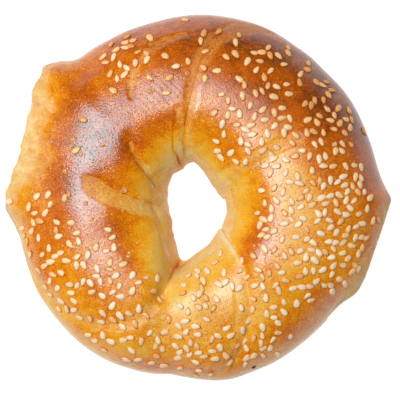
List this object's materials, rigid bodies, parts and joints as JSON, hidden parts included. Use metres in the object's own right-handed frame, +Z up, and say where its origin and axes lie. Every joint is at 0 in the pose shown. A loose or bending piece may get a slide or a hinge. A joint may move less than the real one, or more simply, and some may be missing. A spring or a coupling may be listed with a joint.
{
  "type": "sesame bagel",
  "caption": "Hand-rolled ring of glazed, baked dough with an off-round hole, twist folds, two torn sides and sesame seeds strewn over its top.",
  "frame": {"origin": "middle of the bagel's box, on the table under its flat base", "axes": "+Z up through the hole; +X from the left arm to the right arm, the longest way across; +Y towards the arm that the first fold crosses"},
  "size_m": [0.124, 0.117, 0.039],
  "materials": {
    "crust": "satin",
    "sesame": "satin"
  },
  "bodies": {
    "root": {"bagel": "crust"}
  },
  "joints": []
}
